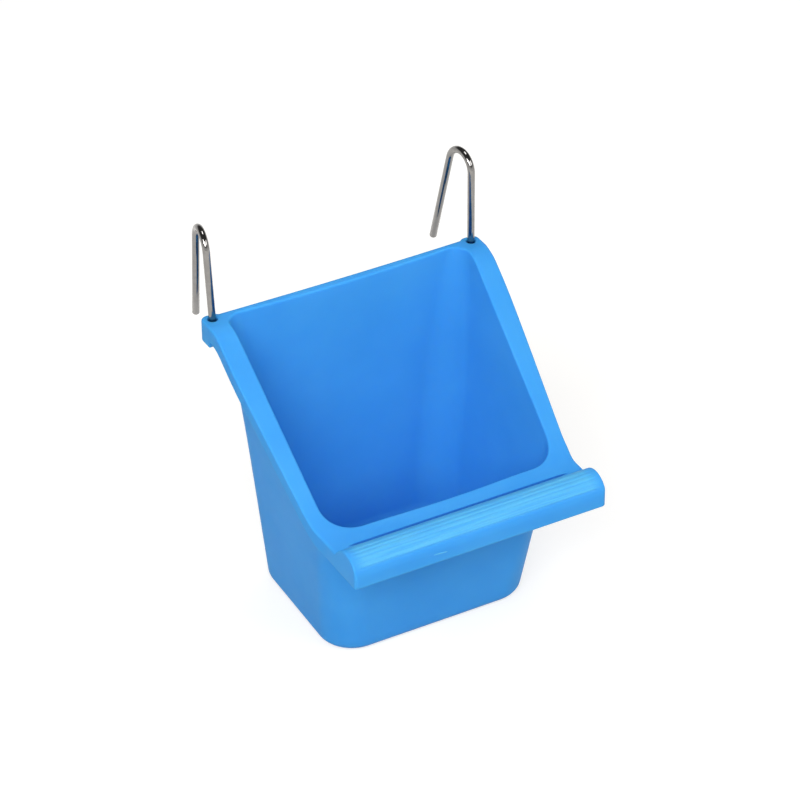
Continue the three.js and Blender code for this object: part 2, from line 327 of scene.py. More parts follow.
def back_columns(start):
    """The columns of the wall's back bend and its back, from a place on the rim's side: up to the boss,
    round it and along the bead"""
    boss_points, crease_x = boss_outline()
    before_boss = BOSS_FRONT - 0.02
    sides = [mix(start, before_boss, n / BOSS_SIDE_STEPS) for n in range(1, BOSS_SIDE_STEPS + 1)]
    beside_hole = [BOSS_FRONT + step for step in (0, 0.06, 0.22, 0.5, 0.85, 1.25, 2.0)]
    beside_hole.append(BOSS_BACK - BOSS_CORNER)
    edges = [((rim_half(y), y), "side") for y in sides]
    edges += [((rim_half(y), y), "boss") for y in beside_hole]
    edges += [(point, "boss") for point in boss_points]
    columns = [(BACK_BEND, BOSS_SHARE * n / len(edges), *edge) for n, edge in enumerate(edges, 1)]
    for n in range(BEAD_BEND_STEPS):
        x = mix(crease_x, BEAD_STRAIGHT, n / (BEAD_BEND_STEPS - 1))
        share = mix(BOSS_SHARE, 1, (n + 1) / BEAD_BEND_STEPS)
        columns.append((BACK_BEND, share, (x, rim_back(x)), "bead"))
    for n in range(1, BEAD_STEPS + 1):
        x = BEAD_STRAIGHT * (1 - n / BEAD_STEPS)
        columns.append((BACK, n / BEAD_STEPS, (x, rim_back(x)), "bead"))
    return columns


def right_columns():
    """The lines that run over the cup from its floor, over the mouth and out to the rim's edge, on its right
    half. Each has the wall's piece and the share along it, the rim's edge in plan, and the rim's kind"""
    columns = []
    for n in range(FRONT_STEPS + 1):
        columns.append((FRONT, n / FRONT_STEPS, (FRONT_STRAIGHT * n / FRONT_STEPS, LIP_REAR), "front"))
    for n, x in enumerate(LIP_BEND_COLUMNS, 1):
        columns.append((FRONT_BEND, LIP_BEND_SHARE * n / len(LIP_BEND_COLUMNS), (x, LIP_REAR), "front"))
    for n in range(1, FLARE_STEPS + 1):
        y = mix(LIP_REAR, FLARE_END, n / FLARE_STEPS)
        columns.append((FRONT_BEND, mix(LIP_BEND_SHARE, 1, n / FLARE_STEPS), (rim_half(y), y), "side"))
    for n in range(1, SIDE_STEPS + 1):
        y = wall_edge(SIDE, n / SIDE_STEPS, mouth_height, True)[1]
        columns.append((SIDE, n / SIDE_STEPS, (rim_half(y), y), "side"))
    return columns + back_columns(columns[-1][2][1])


def perch_rows():
    """Rows across the lip, from the platform over the bar to its front: place at mid span, then how far a
    groove moves it, where the groove ends and over what length it runs out"""
    no_groove = (0, 0, 1, 1)
    rows = [(FIRST_LIP_ROW, PLATFORM_HEIGHT, *no_groove)]
    for offset, half, depth in SLOT_SECTION:
        rows.append((SLOT_Y + offset, PLATFORM_HEIGHT, half, -depth, SLOT_END, SLOT_RUN_OUT))
    foot = BAR_Y + BAR_RADIUS / math.cos(BAR_FLANK) - (PLATFORM_HEIGHT - BAR_Z)
    for behind, rise in BAR_FOOT_ROUND:
        rows.append((foot + behind, PLATFORM_HEIGHT + rise, *no_groove))
    flank_y = BAR_Y + BAR_RADIUS * math.sin(BAR_FLANK)
    flank_z = BAR_Z + BAR_RADIUS * math.cos(BAR_FLANK)
    for share in (0.35, 0.7):
        rows.append((mix(foot, flank_y, share), mix(PLATFORM_HEIGHT, flank_z, share), *no_groove))

    # Angles about the bar's axis, with the depth of a groove there
    beside = GRIP_BESIDE * GRIP_HALF
    smooth_rows = 4
    angles = [(mix(-BAR_FLANK, GRIP_ANGLES[0] - beside, n / smooth_rows), 0) for n in range(smooth_rows)]
    for grip in GRIP_ANGLES:
        deepest = GRIP_DEPTH if grip == GRIP_ANGLES[-1] else GRIP_DEPTH * GRIP_SHALLOW_SHARE
        angles += [(grip + step * GRIP_HALF, deepest * share) for step, share in GRIP_SECTION]
    angles += [(GRIP_ANGLES[-1] + beside, 0), (BAR_LAST, 0)]
    for angle, depth in angles:
        y = BAR_Y - BAR_RADIUS * math.sin(angle)
        z = BAR_Z + BAR_RADIUS * math.cos(angle)
        rows.append((y, z, depth * math.sin(angle), -depth * math.cos(angle), GRIP_END, GRIP_RUN_OUT))
    return rows


def groove_share(x, end, run):
    """How much of a groove's depth is left at x, near its run-out"""
    return min(max((end - abs(x)) / run, 0.0), 1.0)


def lip_end(y):
    """Where a row across the lip ends: its last point, the outline beside it, the skirt's inner face there,
    and how far it is round the lip's corner"""
    corner = Vector((LIP_HALF - LIP_CORNER, LIP_FRONT + LIP_CORNER))
    inner = Vector((LIP_HALF - SKIRT_WALL - INNER_CORNER, LIP_FRONT + SKIRT_WALL + INNER_CORNER))
    last = BAR_Y - BAR_RADIUS * math.sin(BAR_LAST)
    around = math.asin(min(max((corner.y - y) / (corner.y - last), 0), 1))
    x = LIP_HALF - LIP_EDGE - BAR_END_PULL * (1 - math.cos(around))
    outward = Vector((math.cos(around), -math.sin(around)))
    if around > 0:
        return x, corner + LIP_CORNER * outward, inner + INNER_CORNER * outward, math.sin(around) ** 2
    on_bar = max(BAR_Y - y, 0)
    inner_y = y + on_bar * (inner.y - corner.y) / (BAR_Y - corner.y)
    return x, Vector((LIP_HALF, y)), Vector((LIP_HALF - SKIRT_WALL, inner_y)), 0


def bar_hollow(y):
    """Height of the underside of the platform and the bar"""
    radius = BAR_RADIUS - BAR_WALL
    if y < BAR_Y + radius * math.sin(BAR_FLANK):
        return BAR_Z + math.sqrt(max(radius**2 - (y - BAR_Y) ** 2, 0))
    line = BAR_Z + radius / math.cos(BAR_FLANK) - (y - BAR_Y)
    return max(line, PLATFORM_HEIGHT - PLATE)


# Outlines and loops

def both_sides(right):
    """A closed loop from its right half, whose two ends lie on the middle line"""
    return list(right) + [(-x, y, z) for x, y, z in reversed(right[1:-1])]


def both_halves(right):
    """A closed outline in plan from its right half"""
    return list(right) + [Vector((-point.x, point.y)) for point in reversed(right[1:-1])]


def both_ends(right):
    """A row from its right half, which starts on the middle line"""
    return [(-x, y, z) for x, y, z in reversed(right[1:])] + list(right)


def circle(x, y, radius, z, count):
    """A level ring of points"""
    angles = [2 * math.pi * n / count for n in range(count)]
    return [(x + radius * math.cos(angle), y + radius * math.sin(angle), z) for angle in angles]


def inward(outline):
    """The inward direction in plan at each point of a closed outline"""
    directions = []
    for n in range(len(outline)):
        before, after = outline[n - 1], outline[(n + 1) % len(outline)]
        along = Vector((after[0] - before[0], after[1] - before[1])).normalized()
        directions.append(Vector((-along.y, along.x)))
    return directions


def rounded(corner, start, end, steps):
    """Points of an arc from start to end that bends round a corner point, with its end but not its start"""
    corner, start, end = Vector(corner), Vector(start), Vector(end)
    points = []
    for n in range(1, steps):
        angle = math.pi / 2 * n / steps
        back, ahead = 1 - math.sin(angle), 1 - math.cos(angle)
        points.append(tuple(corner + back * (start - corner) + ahead * (end - corner)))
    return points + [tuple(end)]


# Mesh helpers

def place(verts, points):
    for vert, point in zip(verts, points, strict=True):
        vert.co = Vector(point) * MM


def loop_edges(bm, verts):
    return [bm.edges.get(pair) for pair in zip(verts, verts[1:] + verts[:1])]


def pull(bm, verts, points, closed=True):
    """Extrudes a loop or row of vertices and puts the new one at the points"""
    edges = loop_edges(bm, verts) if closed else [bm.edges.get(pair) for pair in zip(verts, verts[1:])]
    made = bmesh.ops.extrude_edge_only(bm, edges=edges)["geom"]
    new = {vert for vert in made if isinstance(vert, bmesh.types.BMVert)}
    ring = [next(e.other_vert(v) for e in v.link_edges if e.other_vert(v) in new) for v in verts]
    place(ring, points)
    return ring


def close_loop(bm, verts):
    bmesh.ops.contextual_create(bm, geom=loop_edges(bm, verts))


def pull_tube(bm, rings):
    """A tube through rings of points, closed where it starts. Returns its last ring"""
    verts = bmesh.ops.create_circle(bm, segments=len(rings[0]), radius=1)["verts"]
    place(verts, rings[0])
    close_loop(bm, verts)
    for points in rings[1:]:
        verts = pull(bm, verts, points)
    return verts


def lay_sheet(bm, loops, rows):
    """A sheet round the mouth, grown forward into the lip. Returns its inner loop and its whole outer edge"""
    count = len(loops[0])
    inner = bmesh.ops.create_circle(bm, segments=count, radius=1)["verts"]
    place(inner, loops[0])
    ring = inner
    for points in loops[1:]:
        ring = pull(bm, ring, points)
    reach = (len(rows[0]) - 1) // 2
    row = ring[-reach:] + ring[:reach + 1]
    right_ends, left_ends = [], []
    for points in rows:
        row = pull(bm, row, points, closed=False)
        right_ends.insert(0, row[-1])
        left_ends.append(row[0])
    edge = row[reach:] + right_ends[1:] + ring[reach:count - reach + 1] + left_ends[:-1] + row[:reach]
    return inner, edge


def new_piece(name, bm, material, body, slot, *nodes):
    """Makes a piece from a closed mesh. Faces that meet at more than 38 degrees keep a sharp edge"""
    bmesh.ops.recalc_face_normals(bm, faces=bm.faces)
    for face in bm.faces:
        face.smooth = True
    for edge in bm.edges:
        edge.smooth = edge.calc_face_angle(0) < math.radians(38)
    mesh = bpy.data.meshes.new(name)
    bm.to_mesh(mesh)
    bm.free()
    mesh.materials.append(material)
    piece = bpy.data.objects.new(name, mesh)
    bpy.context.scene.collection.objects.link(piece)
    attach(piece, body)
    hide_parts(*nodes)
    return piece


def join_or_cut(piece, bm, operation):
    """Joins a closed solid to a piece, or cuts it out"""
    bmesh.ops.recalc_face_normals(bm, faces=bm.faces)
    mesh = bpy.data.meshes.new("tool")
    bm.to_mesh(mesh)
    bm.free()
    tool = bpy.data.objects.new("tool", mesh)
    bpy.context.scene.collection.objects.link(tool)
    change = piece.modifiers.new("change", "BOOLEAN")
    change.operation = operation
    change.solver = "EXACT"
    change.object = tool
    bpy.context.view_layer.update()
    before = piece.data
    finished = piece.evaluated_get(bpy.context.evaluated_depsgraph_get())
    piece.data = bpy.data.meshes.new_from_object(finished)
    piece.modifiers.clear()
    bpy.data.objects.remove(tool)
    bpy.data.meshes.remove(mesh)
    bpy.data.meshes.remove(before)


# Materials

def linear(code):
    """An sRGB hex colour as linear RGBA"""
    channels = [int(code[i:i + 2], 16) / 255 for i in (1, 3, 5)]
    return [c / 12.92 if c <= 0.04045 else ((c + 0.055) / 1.055) ** 2.4 for c in channels] + [1.0]


def add_node(holder, kind, inputs=None, **settings):
    """Adds a node. Settings are attributes of the node. Each input, given by name or number, gets a value or
    the output of another node"""
    node = holder.node_tree.nodes.new(kind)
    for name, value in settings.items():
        setattr(node, name, value)
    for name, value in (inputs or {}).items():
        if isinstance(value, bpy.types.NodeSocket):
            holder.node_tree.links.new(value, node.inputs[name])
        else:
            node.inputs[name].default_value = value
    return node


def new_material(name):
    material = bpy.data.materials.new(name)
    material.use_nodes = True
    material.node_tree.nodes.clear()
    return material


def all_of(holder, shares):
    """The product of several shares, each from 0 to 1"""
    product = shares[0]
    for share in shares[1:]:
        product = add_node(holder, "ShaderNodeMath", {0: product, 1: share}, operation="MULTIPLY").outputs[0]
    return product


def painted_bar_highlight(material, position, coordinate, from_middle):
    """1 along the top of the perch bar, on faces that look upward, up to its last groove: a painted
    highlight, broken into fine streaks
    """
    back_of_band, full_band = -33.2, -35.2
    band_edge = 0.05
    forward = add_node(material, "ShaderNodeMath", {0: BAR_Y * MM, 1: coordinate["Y"]}, operation="SUBTRACT")
    above = add_node(material, "ShaderNodeMath", {0: coordinate["Z"], 1: BAR_Z * MM}, operation="SUBTRACT")
    around = add_node(material, "ShaderNodeMath", {0: forward.outputs[0], 1: above.outputs[0]},
                      operation="ARCTAN2")
    up_to_last = add_node(material, "ShaderNodeMapRange", {
        "Value": around.outputs[0],
        "From Min": GRIP_ANGLES[-1] + band_edge, "From Max": GRIP_ANGLES[-1] - band_edge})
    on_bar = add_node(material, "ShaderNodeMapRange", {
        "Value": coordinate["Y"], "From Min": back_of_band * MM, "From Max": full_band * MM})
    between_ends = add_node(material, "ShaderNodeMapRange", {
        "Value": from_middle, "From Min": (LIP_HALF - 0.6) * MM, "From Max": (LIP_HALF - 3.5) * MM})
    normal = add_node(material, "ShaderNodeTexCoord").outputs["Normal"]
    facing = add_node(material, "ShaderNodeSeparateXYZ", {"Vector": normal})
    facing_up = add_node(material, "ShaderNodeMapRange", {"Value": facing.outputs["Z"], "From Max": 0.2})

    # Streaks of the painted highlight, 0.45 mm wide so that they show, and about thirty times as long
    along_bar = add_node(material, "ShaderNodeMapping", {"Vector": position, "Scale": (0.03, 1.0, 1.0)})
    streak_noise = add_node(material, "ShaderNodeTexNoise", {
        "Vector": along_bar.outputs["Vector"], "Scale": 1 / (0.45 * MM), "Detail": 2.0})
    streaks = add_node(material, "ShaderNodeMapRange", {
        "Value": streak_noise.outputs["Fac"], "From Min": 0.35, "From Max": 0.6, "To Min": 0.45})
    shares = (up_to_last, on_bar, between_ends, facing_up, streaks)
    return all_of(material, [node.outputs[0] for node in shares])


def painted_slot_shade(material, coordinate, from_middle):
    """1 on the walls and floor of the slot behind the bar, where shade is painted in as a darker colour"""
    in_line = add_node(material, "ShaderNodeMath", {0: coordinate["Y"], 1: SLOT_Y * MM, 2: 0.5 * MM},
                       operation="COMPARE")
    before_end = add_node(material, "ShaderNodeMath", {0: from_middle, 1: SLOT_END * MM},
                          operation="LESS_THAN")
    below_top = add_node(material, "ShaderNodeMapRange", {
        "Value": coordinate["Z"],
        "From Min": (PLATFORM_HEIGHT - 0.05) * MM, "From Max": (PLATFORM_HEIGHT - 0.3) * MM})
    above_hollow = add_node(material, "ShaderNodeMath", {0: coordinate["Z"], 1: (PLATFORM_HEIGHT - 1.1) * MM},
                            operation="GREATER_THAN")
    return all_of(material, [node.outputs[0] for node in (in_line, before_end, below_top, above_hollow)])


def moulded_polypropylene():
    """Injection-moulded polypropylene in blue: slightly translucent, so that light creeps into the shade, and
    softly glossy from a fine tool finish, with faint flow clouds in its colour"""
    material = new_material("moulded_polypropylene_blue")
    position = add_node(material, "ShaderNodeTexCoord").outputs["Object"]
    coordinate = add_node(material, "ShaderNodeSeparateXYZ", {"Vector": position}).outputs
    from_middle = add_node(material, "ShaderNodeMath", {0: coordinate["X"]}, operation="ABSOLUTE").outputs[0]

    # Clouds left by the flow of the melt, each about 22 mm across
    clouds = add_node(material, "ShaderNodeTexNoise", {
        "Vector": position, "Scale": 1 / (22 * MM), "Detail": 3.0})
    tone = add_node(material, "ShaderNodeValToRGB", {"Fac": clouds.outputs["Fac"]})
    for element, stop, code in zip(tone.color_ramp.elements, (0.3, 0.7), ("#3C94DE", "#439BE2")):
        element.position = stop
        element.color = linear(code)

    # Painted light: the bar's top and the raised tick are painted paler as highlights, and the inside of the
    # slot is painted darker as shade
    # Painted highlight along the top of the perch bar
    bar_highlight = painted_bar_highlight(material, position, coordinate, from_middle)
    # The raised tick is painted paler: a painted highlight on the ridge
    tick = add_node(material, "ShaderNodeMapRange", {
        "Value": coordinate["Y"], "From Min": (LIP_FRONT - 0.01) * MM, "From Max": (LIP_FRONT - 0.05) * MM})
    pale = add_node(material, "ShaderNodeMath", {0: bar_highlight, 1: tick.outputs[0]}, operation="MAXIMUM")
    # The paler colour of the painted highlights
    with_highlight = add_node(material, "ShaderNodeMix", {
        0: pale.outputs[0], COLOUR_A: tone.outputs["Color"], COLOUR_B: linear("#58AEDE")}, data_type="RGBA")
    # Painted shade: a darker colour inside the slot
    colour = add_node(material, "ShaderNodeMix", {
        0: painted_slot_shade(material, coordinate, from_middle), COLOUR_A: with_highlight.outputs[COLOUR_RESULT],
        COLOUR_B: linear("#3076C8")}, data_type="RGBA")

    # A blasted tool leaves a grain of about 0.1 mm. It is drawn 0.35 mm wide, so that it breaks up the gloss
    grain = add_node(material, "ShaderNodeTexNoise", {
        "Vector": position, "Scale": 1 / (0.35 * MM), "Detail": 4.0})
    relief = add_node(material, "ShaderNodeBump", {
        "Height": grain.outputs["Fac"], "Strength": 0.25, "Distance": 0.02 * MM})

    # Gloss varies in patches of about 6 mm, where the melt met the tool a little hotter or cooler
    swirl = add_node(material, "ShaderNodeTexNoise", {
        "Vector": position, "Scale": 1 / (6 * MM), "Detail": 2.0})
    gloss = add_node(material, "ShaderNodeMapRange", {
        "Value": swirl.outputs["Fac"], "To Min": 0.44, "To Max": 0.56})
    shader = add_node(material, "ShaderNodeBsdfPrincipled", {
        "Base Color": colour.outputs[COLOUR_RESULT], "Roughness": gloss.outputs["Result"],
        "Normal": relief.outputs["Normal"], "IOR": 1.49, "Specular IOR Level": 0.07,
        "Subsurface Weight": 0.4, "Subsurface Scale": 2.2 * MM, "Subsurface Radius": (0.5, 1.2, 1.7)})
    add_node(material, "ShaderNodeOutputMaterial", {"Surface": shader.outputs[0]})
    return material


def plated_steel_wire():
    """Drawn steel wire with bright nickel plating: mirror-like, with sharp dark and light bands along it.
    The plating is faintly uneven, in spots of 1.2 mm that are coarser than real ones, so that they show"""
    material = new_material("bright_plated_steel_wire")
    position = add_node(material, "ShaderNodeTexCoord").outputs["Object"]
    spots = add_node(material, "ShaderNodeTexNoise", {
        "Vector": position, "Scale": 1 / (1.2 * MM), "Detail": 3.0}).outputs["Fac"]
    tone = add_node(material, "ShaderNodeValToRGB", {"Fac": spots})
    for element, stop, code in zip(tone.color_ramp.elements, (0.3, 0.7), ("#8A8886", "#959391")):
        element.position = stop
        element.color = linear(code)
    gloss = add_node(material, "ShaderNodeMapRange", {"Value": spots, "To Min": 0.08, "To Max": 0.14})
    relief = add_node(material, "ShaderNodeBump", {"Height": spots, "Strength": 0.08, "Distance": 0.02 * MM})
    shader = add_node(material, "ShaderNodeBsdfPrincipled", {
        "Base Color": tone.outputs["Color"], "Roughness": gloss.outputs["Result"],
        "Normal": relief.outputs["Normal"], "Metallic": 1.0})
    add_node(material, "ShaderNodeOutputMaterial", {"Surface": shader.outputs[0]})
    return material


# Cup

def cup_plan():
    """What the parts of the cup's skin share. The outline runs from the middle of the lip's front round the
    right side to the middle of the back. For each of its points there are the end of the top sheet, the
    skirt's inner face, how far the point is round the lip's corner, and the rim's kind"""
    columns = right_columns()
    rows = perch_rows()
    reach = sum(1 for column in columns if column[3] == "front") - 1
    fractions = [column[2][0] / columns[reach][2][0] for column in columns[:reach + 1]]
    outline, tops, inner_line, corner_share = [], [], [], []

    # The lip: along its front, and back down its right end
    front_x = lip_end(rows[-1][0])[0]
    for fraction in fractions:
        outline.append(Vector(((LIP_HALF - LIP_CORNER) * fraction, LIP_FRONT)))
        tops.append((front_x * fraction, rows[-1][0], rows[-1][1]))
        inner_line.append(Vector(((LIP_HALF - SKIRT_WALL - INNER_CORNER) * fraction, LIP_FRONT + SKIRT_WALL)))
        corner_share.append(1.0)
    for y, z, *_ in reversed(rows[:-1]):
        x, edge, inner, around = lip_end(y)
        outline.append(edge)
        tops.append((x, y, z))
        inner_line.append(inner)
        corner_share.append(around)
    outline.append(Vector((LIP_HALF, LIP_REAR)))
    tops.append((LIP_HALF - LIP_EDGE, LIP_REAR, PLATFORM_HEIGHT))
    inner_line.append(Vector((LIP_HALF - SKIRT_WALL, LIP_REAR)))
    corner_share.append(0.0)

    # The rim: up the side, round the boss and along the bead
    first_side = len(outline)
    rim = columns[reach + 1:]
    outline += [Vector(edge) for _, _, edge, _ in rim]
    corner_share += [0.0] * len(rim)
    inwards = inward(both_halves(outline))[:len(outline)]
    inwards[-1] = Vector((0, -1))
    for n, (piece, share, _, kind) in enumerate(rim, first_side):
        if STRAIGHT_SIDE_START < outline[n].y < HOOK_Y:
            inwards[n] = Vector((-1, 0))
        inset = outline[n] + inwards[n] * rim_edge_radius(outline[n].y)
        tops.append((inset.x, inset.y, mouth_height(inset.y)))
        root = Vector(wall_edge(piece, share, lambda y: BEAD_BOTTOM, False)).xy
        thinned = BEAD_WALL_SHARE * (outline[n] - root).length
        wall = min(SKIRT_WALL, thinned) if kind == "bead" else SKIRT_WALL
        inner_line.append(outline[n] + inwards[n] * wall)
    return SimpleNamespace(
        columns=columns, rows=rows, reach=reach, fractions=fractions, first_side=first_side, outline=outline,
        tops=tops, inner_line=inner_line, corner_share=corner_share,
        kinds=["lip"] * first_side + [column[3] for column in rim])


def mouth_edge(plan, sheet_edges):
    """The corner where wall and top would meet, and where the round between them starts and ends"""
    corners, starts, ends = [], [], []
    for (piece, share, *_), edge in zip(plan.columns, sheet_edges):
        corner = Vector(wall_edge(piece, share, mouth_height, True))
        below = Vector((*body_plan(piece, share, corner.z - 1, True), corner.z - 1))
        away = (Vector(edge) - corner.xy).normalized()
        step = corner.xy + away * MOUTH_EDGE
        rise = Vector((step.x, step.y, mouth_height(step.y))) - corner
        corners.append(corner)
        starts.append(corner + rise.normalized() * MOUTH_EDGE)
        ends.append(corner + (below - corner).normalized() * MOUTH_EDGE)
    return corners, starts, ends


def top_sheet(bm, plan, starts, sheet_edges):
    """The top of the rim and the lip, with slot and grooves"""
    loops = []
    for share in (0, 0.06, 0.2, 0.4, 0.6, 0.8, 0.94, 1):
        loop = []
        for start, edge in zip(starts, sheet_edges):
            x, y = mix(start.x, edge[0], share), mix(start.y, edge[1], share)
            loop.append((x, y, start.z if share == 0 else mouth_height(y)))
        loops.append(both_sides(loop))
    lip_rows = []
    for y, z, move_y, move_z, end, run in plan.rows:
        last_x = lip_end(y)[0]
        row = []
        for fraction in plan.fractions:
            groove = groove_share(last_x * fraction, end, run)
            row.append((last_x * fraction, y + move_y * groove, z + move_z * groove))
        lip_rows.append(both_ends(row))
    return lay_sheet(bm, loops, lip_rows)


def round_off_base(bm, loop, plan, inner, bottom, radius, steps):
    """Bends a wall round to a flat base and closes it. The last loop, just inside, keeps the shading clean"""
    for n in range(1, steps + 2):
        angle = math.pi / 2 * min(n, steps) / steps
        inset = radius * (1 - math.cos(angle)) + (BASE_MIDDLE_INSET if n > steps else 0)
        z = bottom + radius * (1 - math.sin(angle))
        full = both_sides([(*body_plan(piece, part, z, inner), z) for piece, part, *_ in plan.columns])
        directions = inward([point[:2] for point in full])
        loop = pull(bm, loop, [(p[0] + d.x * inset, p[1] + d.y * inset, z) for p, d in zip(full, directions)])
    close_loop(bm, loop)


def inside_of_cup(bm, loop, plan, corners, starts, ends):
    """Round of the mouth's edge, inside wall and inside floor"""
    arcs = [rounded(*points, EDGE_STEPS) for points in zip(corners, starts, ends)]
    for n in range(EDGE_STEPS):
        loop = pull(bm, loop, both_sides([arc[n] for arc in arcs]))
    wall_end = FLOOR + INNER_BASE_EDGE
    for share in (0.015, 0.05, 0.12, 0.2, 0.28, 0.36, 0.44, 0.52, 0.6, 0.68, 0.76, 0.84, 0.91, 0.96, 0.99, 1):
        points = []
        for (piece, part, *_), end in zip(plan.columns, ends):
            z = mix(end.z, wall_end, share)
            points.append((*body_plan(piece, part, z, True), z))
        loop = pull(bm, loop, both_sides(points))
    round_off_base(bm, loop, plan, True, FLOOR, INNER_BASE_EDGE, 6)


def skirt_heights(plan):
    """Height of the skirt's foot and of the plate's underside, at each point of the outline"""
    feet, roofs = [], []
    for n, (point, kind) in enumerate(zip(plan.outline, plan.kinds)):
        if kind == "boss":
            step = point.y - BOSS_FRONT
            foot = BOSS_BOTTOM + BOSS_FOOT - math.sqrt(BOSS_FOOT**2 - max(BOSS_FOOT - step, 0) ** 2)
            roof = foot
        elif kind == "bead":
            foot = roof = BEAD_BOTTOM
        else:
            foot = mouth_height(point.y) - SKIRT
            roof = bar_hollow(plan.inner_line[n].y) if kind == "lip" else mouth_height(point.y) - PLATE
        feet.append(foot)
        roofs.append(roof)
    return feet, roofs


def outer_edge_and_skirt(bm, loop, plan):
    """Rounded outer edge, skirt, its foot and its inner face. Returns the inner face's top"""
    feet, roofs = skirt_heights(plan)
    arcs = []
    for point, top, around in zip(plan.outline, plan.tops, plan.corner_share):
        corner = Vector((*point, top[2] - LIP_CORNER_DROP * around))
        end = corner - Vector((0, 0, mix(rim_edge_radius(point.y), LIP_CORNER_EDGE, around)))
        arcs.append(rounded(corner, top, end, EDGE_STEPS))
    for n in range(EDGE_STEPS):
        loop = pull(bm, loop, both_sides([arc[n] for arc in arcs]))
    for share in (0.06, 0.3, 0.6, 0.88, 1):
        points = []
        for arc, foot in zip(arcs, feet):
            x, y, z = arc[-1]
            points.append((x, y, mix(z, foot + SKIRT_FOOT_ROUND, share)))
        loop = pull(bm, loop, both_sides(points))
    for part, lift in ((0.024, 0.19), (0.1, 0.06), (0.24, 0), (0.4, 0), (0.88, 0), (1, 0.15)):
        points = []
        for point, inner, foot, roof in zip(plan.outline, plan.inner_line, feet, roofs):
            inset = point.lerp(inner, part)
            points.append((inset.x, inset.y, min(foot + lift, roof) if part == 1 else foot + lift))
        loop = pull(bm, loop, both_sides(points))
    face_top = [(point.x, point.y, z) for point, z in zip(plan.inner_line, roofs)]
    for end in (0, -1):
        face_top[end] = (0, *face_top[end][1:])
    pull(bm, loop, both_sides(face_top))
    return face_top


def under_height(kind):
    """Height of the plate's underside where it meets the body, as a function of y"""
    if kind == "boss":
        return lambda y: BOSS_BOTTOM
    if kind == "bead":
        return lambda y: BEAD_BOTTOM
    return lambda y: mouth_height(y) - PLATE


def underside_and_body(bm, plan, face_top):
    """Underside of the plate and the lip, and the outside of the body"""
    roots = []
    for piece, part, _, kind in plan.columns:
        roots.append(Vector(wall_edge(piece, part, under_height(kind), False)))
    inner_half = LIP_HALF - SKIRT_WALL
    edges = [(inner_half * fraction, LIP_REAR, PLATFORM_HEIGHT - PLATE) for fraction in plan.fractions]
    edges += face_top[plan.first_side:]
    loops = []
    for share in (0, 0.12, 0.5, 0.88, 1):
        points = []
        for root, edge, (*_, kind) in zip(roots, edges, plan.columns):
            x, y = mix(root.x, edge[0], share), mix(root.y, edge[1], share)
            z = edge[2] if share == 1 else mix(root.z, edge[2], share)
            if kind in ("front", "side") and 0 < share < 1:
                z = mouth_height(y) - PLATE
            points.append((x, y, z))
        loops.append(both_sides(points))
    lip_ends = reversed(face_top[plan.reach:plan.first_side - 1])
    lip_rows = [both_ends([(x * fraction, y, z) for fraction in plan.fractions]) for x, y, z in lip_ends]
    lip_rows[-1] = both_ends(face_top[:plan.reach + 1])
    loop, _ = lay_sheet(bm, loops, lip_rows)
    for share in (0.01, 0.04, 0.1, 0.2, 0.3, 0.4, 0.5, 0.6, 0.7, 0.8, 0.9, 0.97, 1):
        points = []
        for (piece, part, *_), root in zip(plan.columns, roots):
            z = mix(root.z, BASE_EDGE, share)
            points.append((*body_plan(piece, part, z), z))
        loop = pull(bm, loop, both_sides(points))
    round_off_base(bm, loop, plan, False, 0, BASE_EDGE, 8)


def shell_of_cup():
    """The whole skin of the cup, from its inside floor over the rim and the lip to its base"""
    plan = cup_plan()
    sheet_edges = [(edge[0], LIP_REAR) for _, _, edge, _ in plan.columns[:plan.reach + 1]]
    sheet_edges += [top[:2] for top in plan.tops[plan.first_side:]]
    sheet_edges[-1] = (0, sheet_edges[-1][1])
    corners, starts, ends = mouth_edge(plan, sheet_edges)
    bm = bmesh.new()
    mouth_loop, edge_loop = top_sheet(bm, plan, starts, sheet_edges)
    inside_of_cup(bm, mouth_loop, plan, corners, starts, ends)
    face_top = outer_edge_and_skirt(bm, edge_loop, plan)
    underside_and_body(bm, plan, face_top)
    bmesh.ops.remove_doubles(bm, verts=bm.verts, dist=0.0015 * MM)
    return bm


def drill_holes(piece):
    """Cuts the stepped holes for the hooks, each with a slightly broken top edge"""
    profile = ((COUNTERBORE_RADIUS, BOSS_BOTTOM - DRILL_BEYOND), (COUNTERBORE_RADIUS, SHOULDER),
               (HOLE_RADIUS, SHOULDER), (HOLE_RADIUS, RIM_HEIGHT - HOLE_EDGE),
               (HOLE_RADIUS + HOLE_EDGE, RIM_HEIGHT), (HOLE_RADIUS + HOLE_EDGE, RIM_HEIGHT + DRILL_BEYOND))
    for side in (-1, 1):
        bm = bmesh.new()
        close_loop(bm, pull_tube(bm, [circle(side * HOOK_X, HOOK_Y, radius, z, 48) for radius, z in profile]))
        join_or_cut(piece, bm, "DIFFERENCE")


def parting_tick():
    """A short raised line low on the front of the lip, left by the mould, half sunk in its face"""
    rings = []
    for share in (0.0, 0.06, 0.2, 0.8, 0.94, 1.0):
        x, z = mix(TICK_START[0], TICK_END[0], share), mix(TICK_START[1], TICK_END[1], share)
        swell = math.sqrt(max(1 - (2 * share - 1) ** 8, 0.02))
        section = circle(0, 0, swell, 0, 12)
        rings.append([(x, LIP_FRONT + TICK_RISE * rise, z + TICK_HALF * up) for up, rise, _ in section])
    bm = bmesh.new()
    close_loop(bm, pull_tube(bm, rings))
    return bm


# Hooks

